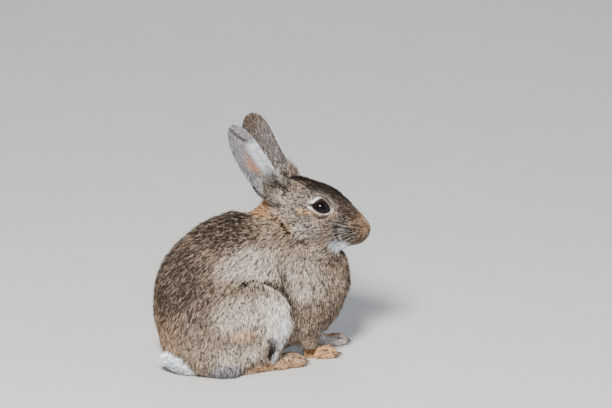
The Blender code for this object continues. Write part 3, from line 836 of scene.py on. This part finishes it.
for number, eye in enumerate(eyes.values(), 3):
    lid = origin == number
    reach, beyond, bearing, _ = eye.place(skin_points)
    close = lid | (reach < EYE_RADIUS + 12 * MM) & (origin == 0)
    beyond = np.degrees(beyond)
    near = 0.8 * rising(reach, EYE_RADIUS + 9 * MM, EYE_RADIUS + 1 * MM)
    near = np.where(lid, 1 - 0.4 * rising(beyond, 10, 45), near) * close
    radial = along_skin(skin_points - eye.centre, skin_normals)
    way = along_skin(way * (1 - 0.75 * near[:, None]) + radial * 0.75 * near[:, None], skin_normals)
    length = blended(length, 1.5 * MM, near)
    width = blended(width, 0.26 * MM, near)
    lift = blended(lift, math.radians(14), near)
    front, upper = np.cos(bearing), np.sin(bearing)
    heavy = rising(upper, -0.1, 0.3) * rising(-front, 0.2, 0.6)  # the drooping lid at the back
    corner = rising(front, 0.55, 0.9)
    wide = 19 * heavy + 12 * corner + 5 * rising(-front, 0.5, 0.9)
    band = 1 - rising(beyond, 7 + wide * 0.8, 10 + wide * 1.15)
    band *= 1 - 0.95 * rising(upper, 0.2, 0.5) * rising(front, -0.35, 0)
    band *= 1 - 0.7 * rising(-upper, 0.4, 0.8) * rising(front, -0.6, 0)
    brow = rising(np.abs(beyond - 12 - 15 * heavy), 9, 4) * rising(upper, 0.05, 0.4)
    brow *= rising(reach, EYE_RADIUS + 5 * MM, EYE_RADIUS + 2 * MM)
    below = rising(np.abs(beyond - 27), 13, 5) * rising(-upper, -0.1, 0.4)
    edge = 1 - rising(beyond, 3 - 1.5 * heavy, 6 - 1.5 * heavy)
    hug = rising(reach, EYE_RADIUS + 5 * MM, EYE_RADIUS + 1.5 * MM)
    band, edge = band * hug, edge * hug
    growth = np.where(lid, 1.3 * (edge < 0.5), growth)
    band, brow, below, edge = (m * close for m in (band, brow, below, edge))
    marks[:, DARK] = np.maximum(marks[:, DARK] * (1 - band), np.maximum(0.85 * brow, edge))
    marks[:, RUST] = np.maximum(marks[:, RUST] * (1 - band), 0.5 * below)
    marks[:, GREY] *= (1 - band) * (1 - below)
    marks[:, WHITE] = np.maximum(marks[:, WHITE], 0.3 * band) * (1 - edge)
    marks[:, PALE] = np.maximum(marks[:, PALE] * (1 - 0.7 * below), 1.0 * band) * (1 - edge)
    bare = np.maximum(bare, edge)

tail = on_tail(skin_points) * (origin == 0)
marks *= 1 - tail[:, None]
marks[:, WHITE] += tail
marks = np.clip(marks, 0, 1)


# ---------------------------------------------------------------- colour of hide and coat
# Each hair is slate at its root, then banded, then tipped buff or nearly black, which makes the grizzle. Hide
# and coat take the same markings. The bare skin of ears and lid rims is smooth, and dusky or pink, and orange
# where the ears' painted glow of light shining through them lies.

BLENDS = [
    # light and dark hair of the plain coat, then of each marking, laid over one another in this order
    (None, (0.40, 0.305, 0.225), (0.045, 0.031, 0.023)),
    (PALE, (0.82, 0.745, 0.665), (0.072, 0.056, 0.045)),
    (RUST, (0.72, 0.415, 0.205), (0.12, 0.052, 0.022)),
    (DARK, (0.25, 0.175, 0.12), (0.014, 0.009, 0.007)),
    (GREY, (0.29, 0.285, 0.31), (0.04, 0.036, 0.04)),
    (WHITE, (0.90, 0.95, 1.0), (0.42, 0.44, 0.48)),
]


def coat_material(name, hide):
    """The finish of the coat, or of the hide under it. Both read the same markings."""
    made, shader, place = material(name, Roughness=0.6, Specular_IOR_Level=0.3)
    masks = dict(zip((WHITE, RUST, DARK), place.attribute("marks", "Color").channels()))
    masks[PALE] = place.attribute("marks", "Alpha")
    masks[GREY] = place.attribute("strand", "Alpha")
    along, pick, shade = place.attribute("strand", "Color").channels()
    light = deep = None
    for kind, light_hair, dark_hair in BLENDS:
        light_hair, dark_hair = (*light_hair, 1), (*dark_hair, 1)
        light = light_hair if kind is None else masks[kind].mix(light, light_hair)
        deep = dark_hair if kind is None else masks[kind].mix(deep, dark_hair)
    # The share of hairs with dark tips goes with the markings, and varies in grains of three sizes.
    chance = 0.43 + masks[DARK] * (masks[DARK] * 0.22 + 0.30) - masks[PALE] * 0.04 - masks[WHITE] * 0.20
    chance = chance - masks[RUST] * 0.12 + (place.noise(140.0) - 0.5) * 0.1 + (place.noise(430.0) - 0.5) * 0.9
    chance = chance + (place.noise(260.0) - 0.5) * (masks[RUST] * masks[DARK]) * 5.5
    tip = (pick - chance).ramp(0.08, -0.08).mix(light, deep)
    slate = masks[WHITE].mix(deep, (0.5, 0.5, 0.52, 1))
    band = along.ramp(0.05, 0.25).mix(slate, light)
    colour = along.ramp(0.22, 0.50).mix(band, tip)
    if hide:
        bare = place.attribute("bare", "Fac")
        # On bare ear skin the rust tint shows the painted glow of light through the ear.
        flesh = masks[RUST].mix((0.155, 0.138, 0.155, 1), (0.27, 0.14, 0.085, 1))
        flesh = masks[DARK].mix(flesh, (0.010, 0.007, 0.006, 1))
        flesh = (masks[WHITE] * 0.8).mix(flesh, (0.52, 0.57, 0.70, 1))
        colour = bare.mix(colour, flesh)
        feed(shader, Normal=place.noise(900.0, 3.0).bump(0.5, 0.0006))
    colour = place.node("ShaderNodeVectorMath", {0: colour, "Scale": shade + 0.48}, operation="SCALE")
    feed(shader, Base_Color=colour)
    return made


def write_colour(mesh, name, values):
    mesh.attributes.new(name, "FLOAT_COLOR", "POINT").data.foreach_set("color", values.astype(np.float32).ravel())


hide_finish = coat_material("hide", True)
coat_finish = coat_material("fur", False)
skin.data.materials.append(hide_finish)
write_colour(skin.data, "marks", marks[:, [WHITE, RUST, DARK, PALE]])
HIDE_ALONG, HIDE_PICK, HIDE_SHADE = 0.22, 0.6, 0.4
plain = np.tile((HIDE_ALONG, HIDE_PICK, HIDE_SHADE, 0), (len(skin_points), 1))
plain[:, 2] += 0.15 * bare
plain[:, 3] = marks[:, GREY]
write_colour(skin.data, "strand", plain)
skin.data.attributes.new("bare", "FLOAT", "POINT").data.foreach_set("value", bare.astype(np.float32))
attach(skin, "root")
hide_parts(*FLESH, "ear_right", "ear_left")


# ---------------------------------------------------------------- eyes
# Large and set at the sides of the head: a wet ball, almost black, with a deep brown iris round a wide pupil
# and a clear front that bulges a little.

for where, eye in eyes.items():
    bm = bmesh.new()
    bmesh.ops.create_uvsphere(bm, u_segments=64, v_segments=40, radius=EYE_RADIUS)
    for v in bm.verts:
        front = v.co.z / EYE_RADIUS
        v.co.z *= 1 + 0.03 * float(rising(front, 0.6, 1.0))
    looking = Vector(eye.outward).to_track_quat("Z", "Y").to_matrix().to_4x4()
    bm.transform(Matrix.Translation(Vector(eye.centre)) @ looking)
    eyeball = from_bmesh(f"eyeball_{where}", bm)
    eyeball.data.shade_smooth()
    gloss = {"Roughness": 0.05, "Specular_IOR_Level": 0.12, "Coat_Weight": 0.08, "Coat_Roughness": 0.02}
    finish, shader, place = material(f"eye_{where}", **gloss)
    front = eye.centre + eye.outward * EYE_RADIUS
    off = place.node("ShaderNodeVectorMath", {0: place, 1: front}, output="Value", operation="DISTANCE")
    streaks = place.noise(1400.0, 4.0).mix((0.005, 0.003, 0.002, 1), (0.018, 0.007, 0.004, 1))
    colour = off.ramp(0.0044, 0.0060).mix((0.003, 0.002, 0.002, 1), streaks)
    colour = off.ramp(0.0074, 0.0088).mix(colour, (0.006, 0.004, 0.003, 1))
    feed(shader, Base_Color=colour)
    eyeball.data.materials.append(finish)
    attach(eyeball, "root")
    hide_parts(f"eye_{where}")


# ---------------------------------------------------------------- claws
# Sixteen slim dark claws, curved down, each growing from the end of its toe.

claw_tones = (0.045, 0.032, 0.026), (0.13, 0.095, 0.075)
claw_finish = speckled("claw", 400.0, *claw_tones, (1500.0, 0.15, 0.0002), Roughness=0.38)
for node in sorted(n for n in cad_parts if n.startswith("claw")):
    points = points_of(node)
    base = Vector(points[points[:, 0] < points[:, 0].min() + 1.2 * MM].mean(0))
    point = Vector(points[points[:, 0] > points[:, 0].max() - 0.6 * MM].mean(0))
    bm = bmesh.new()
    bmesh.ops.create_cone(bm, cap_ends=True, segments=10, radius1=1, radius2=0.16, depth=1)
    long_edges = [e for e in bm.edges if abs(e.verts[0].co.z - e.verts[1].co.z) > 0.5]
    bmesh.ops.subdivide_edges(bm, edges=long_edges, cuts=5)
    reach = point - base
    place = Matrix.Translation(base) @ reach.to_track_quat("Z", "Y").to_matrix().to_4x4()
    for v in bm.verts:
        share = v.co.z + 0.5
        v.co = place @ Vector((v.co.x * 0.85 * MM, v.co.y * 1.15 * MM, (share * 1.12 - 0.2) * reach.length))
        v.co.z += 0.9 * MM * math.sin(math.pi * share)
    bmesh.ops.recalc_face_normals(bm, faces=bm.faces)
    claw = from_bmesh("horn_" + node, bm)
    claw.data.shade_smooth()
    claw.data.materials.append(claw_finish)
    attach(claw, "root")
    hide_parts(node)


# ---------------------------------------------------------------- coat
# Tufts of hair, each a thin pointed blade of mesh, rooted all over the hide. They lie along the comb's way,
# lean together in small locks, and are shortest on face, ears and feet. Long single guard hairs stand out a
# little from the rest. Each part of the body has its own piece.

rng = np.random.default_rng(7)
COATS = {
    # piece: nodes, material slot, tufts and locks to a square mm, guard hairs to a square mm
    "head": (("head",), "coat", 5.6, 1.0, 0.12),
    "neck": (("neck",), "coat", 4.7, 0.9, 0.15),
    "trunk": (("trunk",), "coat", 4.6, 0.9, 0.15),
    "haunch_right": (("hind_leg_right",), "coat", 4.7, 0.9, 0.15),
    "haunch_left": (("hind_leg_left",), "coat", 4.7, 0.9, 0.15),
    "foreleg_right": (("fore_leg_right",), "coat", 4.7, 0.9, 0.15),
    "foreleg_left": (("fore_leg_left",), "coat", 4.7, 0.9, 0.15),
    "forefeet": (("fore_foot_right", "fore_foot_left"), "foot_coat", 4.4, 0.7, 0.1),
    "hindfeet": (("hind_foot_right", "hind_foot_left"), "foot_coat", 4.0, 0.7, 0.1),
    "ears": (("ear_right", "ear_left"), "ear_coat", 4.6, 0.6, 0.0),
    "tail": (("tail",), "tail_coat", 6.0, 0.5, 0.1),
}
MOST_TRIANGLES = 195000  # in one piece
GROUND = 0.3 * MM  # no tuft reaches lower
BAKE_PATCH = 0.003  # a tuft's width and height in its piece's map

flesh_nodes = FLESH + ["ear_right", "ear_left"]
places, faces, owners = [], [], []  # an owner is the number of the node that a face belongs to
for number, node in enumerate(flesh_nodes):
    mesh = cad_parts[node].data
    faces += [[len(places) + i for i in polygon.vertices] for polygon in mesh.polygons]
    places += [v.co for v in mesh.vertices]
    owners += [number] * len(mesh.polygons)
solids = BVHTree.FromPolygons(places, faces)

skin.data.calc_loop_triangles()
corners = np.empty(len(skin.data.loop_triangles) * 3, np.int32)
skin.data.loop_triangles.foreach_get("vertices", corners)
corners = corners.reshape(-1, 3)
a, b, c = (skin_points[corners[:, k]] for k in range(3))
centres, areas = (a + b + c) / 3, np.linalg.norm(np.cross(b - a, c - a), axis=1) / 2
owner = np.array([owners[solids.find_nearest(p)[2]] for p in centres])
owner[origin[corners[:, 0]] >= 3] = flesh_nodes.index("head")
for number, where in enumerate(SIDES, 1):
    owner[origin[corners[:, 0]] == number] = flesh_nodes.index(f"ear_{where}")
fullness = growth[corners].mean(1)


def unwrapped(inside):
    """A flat unwrap of part of the hide: for each triangle, the place of its three corners."""
    used, new = np.unique(corners[inside], return_inverse=True)
    mesh = bpy.data.meshes.new("unwrap")
    mesh.from_pydata(skin_points[used], [], new.reshape(-1, 3))
    sheet = linked("unwrap", mesh)
    bpy.context.view_layer.objects.active = sheet
    sheet.select_set(True)
    bpy.ops.object.mode_set(mode="EDIT")
    bpy.ops.mesh.select_all(action="SELECT")
    bpy.ops.uv.smart_project(angle_limit=math.radians(75), island_margin=0.002)
    bpy.ops.object.mode_set(mode="OBJECT")
    flat = np.empty(len(mesh.loops) * 2)
    mesh.uv_layers.active.data.foreach_get("uv", flat)
    bpy.data.objects.remove(sheet)
    return flat.reshape(-1, 3, 2)


def scatter(weight):
    """Even random places over triangles, each given its share: the triangle of each and its corner weights."""
    reach = np.cumsum(weight)
    count = int(reach[-1])
    stops = (np.arange(count) + rng.random(count)) * reach[-1] / count
    chosen = np.searchsorted(reach, stops).clip(0, len(weight) - 1)
    u, v = rng.random(count), rng.random(count)
    over = u + v > 1
    u[over], v[over] = 1 - u[over], 1 - v[over]
    return chosen, np.stack([1 - u - v, u, v], 1)


def write_blades(name, strips, marks, strand, patches):
    """One mesh of pointed blades. Each is a quad from its first two pairs of points, and a tip."""
    count, per = len(strips), strips.shape[1]
    loop = [0, 1, 3, 2, 2, 3, 4]
    loops = (np.arange(count)[:, None] * per + np.array(loop)).ravel()
    sizes = np.tile((4, 3), count)
    mesh = bpy.data.meshes.new(name)
    mesh.vertices.add(count * per)
    mesh.vertices.foreach_set("co", strips.astype(np.float32).ravel())
    mesh.loops.add(len(loops))
    mesh.loops.foreach_set("vertex_index", loops.astype(np.int32))
    mesh.polygons.add(len(sizes))
    mesh.polygons.foreach_set("loop_start", np.concatenate([[0], np.cumsum(sizes)[:-1]]).astype(np.int32))
    mesh.update(calc_edges=True)
    write_colour(mesh, "marks", np.repeat(marks, per, 0))
    write_colour(mesh, "strand", strand.reshape(-1, 4))
    layer = mesh.uv_layers.new(name="OFBake")
    layer.data.foreach_set("uv", patches.reshape(-1, 2)[loops].astype(np.float32).ravel())
    mesh.shade_smooth()
    return linked(name, mesh)


def grown(name, inside, flat, per_mm2, locks_per_mm2, guards_per_mm2):
    """The coat over part of the hide: tufts, and guard hairs among them."""
    here, share = corners[inside], areas[inside] * fullness[inside] / MM**2
    tufts, guards = scatter(share * per_mm2), scatter(share * guards_per_mm2 + 1e-9)
    chosen, weights = (np.concatenate(pair) for pair in zip(tufts, guards))
    guard = np.arange(len(chosen)) >= len(tufts[0])
    tri, spread = here[chosen], weights[:, :, None]
    roots = (skin_points[tri] * spread).sum(1)
    ups = unit((skin_normals[tri] * spread).sum(1))
    ways = (way[tri] * spread).sum(1)
    lengths, lifts, widths = ((field[tri] * weights).sum(1) for field in (length, lift, width))
    painted = (marks[tri] * spread).sum(1)
    count = len(roots)

    # Locks: the tufts nearest to a leader share its swing and its shade, and lean towards its tip.
    leaders = rng.choice(count, max(int(share.sum() * locks_per_mm2), 1), replace=False)
    tree = KDTree(len(leaders))
    for number in leaders:
        tree.insert(roots[number], number)
    tree.balance()
    around = np.array([[number for _, number, _ in tree.find_n(p, 6)] for p in roots])
    off = roots[around] - roots[:, None]
    along_lock = (off * ways[:, None]).sum(2)
    apart = (off**2).sum(2) - 0.84 * along_lock**2
    leader = around[np.arange(count), apart.argmin(1)]
    swing = rng.normal(0, 0.16, count)[leader] + rng.normal(0, 0.12, count)
    ways = along_skin(ways, ups)
    ways = unit(ways + np.cross(ups, ways) * swing[:, None])
    roll = rng.normal(0, 0.6, count)[:, None]
    across = np.cross(ups, ways) * np.cos(roll) + ups * np.sin(roll)
    lengths = lengths * rng.uniform(0.75, 1.2, count) * np.where(guard, 1.2, 1)
    lifts = lifts * rng.uniform(0.7, 1.3, count) * np.where(guard, 1.2, 1)
    widths = widths * rng.uniform(0.8, 1.2, count) * np.where(guard, 0.45, 1)
    ends = ways * (lengths * np.cos(lifts))[:, None] + ups * (lengths * np.sin(lifts))[:, None]
    towards = roots[leader] + ends[leader] - roots
    pull = (rng.uniform(0.25, 0.6, count) * ~guard)[:, None]
    ends = blended(ends, towards, pull)

    rise = (ends * ups).sum(1, keepdims=True)
    run = ends - ups * rise
    start = roots - ups * np.clip(rise * 0.2, 0, 0.3 * MM)
    middle = start + run * 0.5 + ups * rise * 0.74
    half = across * (widths / 2)[:, None]
    tips = start + run + ups * rise
    strips = np.stack([start - half * 0.8, start + half * 0.8, middle - half, middle + half, tips], 1)
    strips[:, :, 2] = np.maximum(strips[:, :, 2], GROUND)
    strand = np.empty((count, 5, 4))
    strand[:, :, 0] = (0, 0, 0.5, 0.5, 1)
    strand[:, :, 1] = (0.5 * rng.random(count)[leader] + 0.5 * rng.random(count))[:, None]
    strand[:, :, 2] = (0.6 * rng.random(count)[leader] + 0.4 * rng.random(count))[:, None]
    strand[:, :, 3] = painted[:, GREY, None]
    outline = (np.array([(0, 0), (1, 0), (0, 0.5), (1, 0.5), (0.5, 1)]) - 0.5) * BAKE_PATCH
    patches = (flat[chosen] * spread).sum(1)[:, None] + outline
    return write_blades(name, strips, painted[:, [WHITE, RUST, DARK, PALE]], strand, patches)


thinning = 1
for piece, (nodes, slot, per_mm2, locks, guards) in COATS.items():
    mine = np.isin(owner, [flesh_nodes.index(n) for n in nodes])
    triangles = (areas * fullness)[mine].sum() / MM**2 * (per_mm2 + guards) * 3
    parts = math.ceil(triangles / MOST_TRIANGLES)
    # A piece too large for one mesh is divided round the body's long axis.
    angle = np.arctan2(centres[:, 1], centres[:, 2] - 75 * MM)
    limits = np.quantile(angle[mine], np.linspace(0, 1, parts + 1))
    for part in range(parts):
        inside = mine & (angle >= limits[part]) & ((angle < limits[part + 1]) | (part == parts - 1))
        inside &= fullness > 0
        name = f"fur_{piece}" + (f"_{part + 1}" if parts > 1 else "")
        made = grown(name, inside, unwrapped(inside), per_mm2 * thinning, locks * thinning, guards * thinning)
        made.data.materials.append(coat_finish)
        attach(made, "root")


# ---------------------------------------------------------------- whiskers and lashes
# Long pale whiskers stand in rows on the upper lip and sweep out and back. A few dark lashes line the upper lid.

def strands(name, hairs, thickness, finish):
    """Thin curved hairs in one mesh. Each has a root, a way out, a way back to which it bends, and a length."""
    roots, outs, backs, lengths = (np.array(values) for values in zip(*hairs))
    rings, sides = 9, 4
    share = np.linspace(0, 1, rings)[None, :, None]
    reach = lengths[:, None, None]
    line = roots[:, None] + reach * (outs[:, None] * (share - share**2 / 2) + backs[:, None] * share**2 / 2)
    one = unit(np.cross(outs, backs))[:, None, None]
    two = unit(np.cross(one[:, 0, 0], outs))[:, None, None]
    turn = np.arange(sides) * 2 * math.pi / sides
    ring = one * np.cos(turn)[None, None, :, None] + two * np.sin(turn)[None, None, :, None]
    points = line[:, :, None] + ring * (thickness / 2 * (1 - 0.85 * share))[:, :, None]
    faces = []
    for start in range(0, len(roots) * rings * sides, rings * sides):
        for row in range(rings - 1):
            for k in range(sides):
                a, b = start + row * sides + k, start + row * sides + (k + 1) % sides
                faces.append((a, b, b + sides, a + sides))
        faces.append([start + (rings - 1) * sides + k for k in range(sides)])
        faces.append([start + k for k in reversed(range(sides))])
    mesh = bpy.data.meshes.new(name)
    mesh.from_pydata(points.reshape(-1, 3), [], faces)
    mesh.shade_smooth()
    made = linked(name, mesh)
    made.data.materials.append(finish)
    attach(made, "root")


whisker_finish = speckled("whisker", 90.0, (0.50, 0.46, 0.41), (0.86, 0.83, 0.78), Roughness=0.35)
lash_finish = speckled("lash", 400.0, (0.008, 0.006, 0.005), (0.03, 0.022, 0.017), Roughness=0.4)
hairs = []
for side in SIDES.values():
    for row in range(4):
        for step in range(4):
            lip = on_head(44 - 4 * step, side * (13 + 1.2 * step), -4 - 3 * row - step)
            out = HEAD_TURN @ Vector((-0.30 - 0.15 * step, side, 0.22 - 0.2 * row)).normalized()
            back = HEAD_TURN @ Vector((-1, side * 0.75, -0.12 - 0.12 * row)).normalized()
            reach = (36 + 7 * step - 3 * row + 6 * rng.random()) * MM
            hairs.append((surface.find_nearest(lip)[0], out, back, reach))
strands("whiskers", hairs, 0.2 * MM, whisker_finish)
hairs = []
for eye in eyes.values():
    for turn in np.linspace(0.12 * math.pi, 0.62 * math.pi, 13):
        _, _, around, edge = eye.rim(turn)
        out = unit(eye.outward + around * 0.5 - eye.ahead * 0.3)
        back = unit(eye.up + eye.outward * 0.5 - eye.ahead * 0.8)
        root = eye.over(around, edge + math.radians(3), 0.5 * MM)
        hairs.append((root, out, back, (3.2 + 1.6 * rng.random()) * MM))
strands("lashes", hairs, 0.16 * MM, lash_finish)
